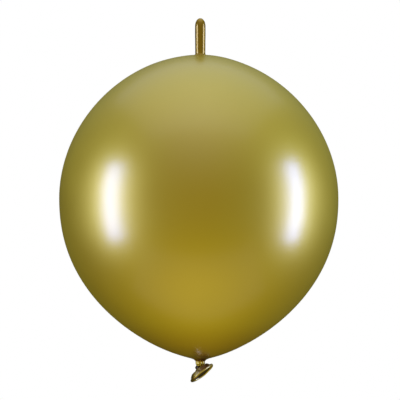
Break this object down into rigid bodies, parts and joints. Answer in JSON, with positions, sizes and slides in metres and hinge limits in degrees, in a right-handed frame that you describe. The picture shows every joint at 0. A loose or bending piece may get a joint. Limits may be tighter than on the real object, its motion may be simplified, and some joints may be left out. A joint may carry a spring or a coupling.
{
  "type": "latex balloon",
  "caption": "Inflated link balloon of gold metallic latex, tied at the neck, with a closed tail on the crown for joining balloons in a chain.",
  "frame": {"origin": "middle of the tied neck's waist, on the neck's axis", "axes": "+Z from the knot up to the crown and tail, +X to the right seen from the front, -Y towards the viewer"},
  "size_m": [0.3, 0.2998, 0.3918],
  "materials": {
    "gold_skin": "metallic gold, glossy, stretched thin",
    "thick_latex": "metallic bronze-gold, satin gloss, unstretched",
    "gathered_latex": "metallic orange-brown gold, fine radial creases",
    "knot_latex": "metallic brown-gold, pleated, satin",
    "lip_latex": "metallic gold, rolled bead, satin"
  },
  "bodies": {
    "envelope": {"body_skin": "gold_skin", "neck_gather": "gathered_latex", "tail_root": "thick_latex"},
    "tail_lower": {"tail_lower": "thick_latex"},
    "tail_middle": {"tail_middle": "thick_latex"},
    "tail_upper": {"tail_upper": "thick_latex"},
    "tail_tip": {"tail_tip": "thick_latex"},
    "knot": {"neck_stem": "thick_latex", "knot_core": "knot_latex", "knot_loop": "knot_latex"},
    "mouth": {"mouth_skirt": "knot_latex", "lip_bead": "lip_latex"}
  },
  "joints": [
    {"name": "tail_lean", "type": "hinge", "parent": "envelope", "child": "tail_lower", "pos_m": [0, 0, 0.338], "axis": [1, 0, 0], "range_deg": [-30, 30], "stiffness_Nm_per_rad": 0.012},
    {"name": "tail_bend", "type": "hinge", "parent": "tail_lower", "child": "tail_middle", "pos_m": [0, 0, 0.3458], "axis": [0, 1, 0], "range_deg": [-30, 30], "stiffness_Nm_per_rad": 0.012},
    {"name": "tail_curl", "type": "hinge", "parent": "tail_middle", "child": "tail_upper", "pos_m": [0, 0, 0.3536], "axis": [0, 1, 0], "range_deg": [-30, 30], "stiffness_Nm_per_rad": 0.012},
    {"name": "tail_hook", "type": "hinge", "parent": "tail_upper", "child": "tail_tip", "pos_m": [0, 0, 0.3614], "axis": [0, 1, 0], "range_deg": [-30, 30], "stiffness_Nm_per_rad": 0.012},
    {"name": "neck_swing", "type": "hinge", "parent": "envelope", "child": "knot", "pos_m": [0, 0, 0], "axis": [0, 1, 0], "range_deg": [-15, 35], "stiffness_Nm_per_rad": 0.015},
    {"name": "mouth_flap", "type": "hinge", "parent": "knot", "child": "mouth", "pos_m": [-0.00075, -0.0022, -0.00817], "axis": [0.4384, 0.8988, 0], "range_deg": [-5, 30], "stiffness_Nm_per_rad": 0.01}
  ]
}
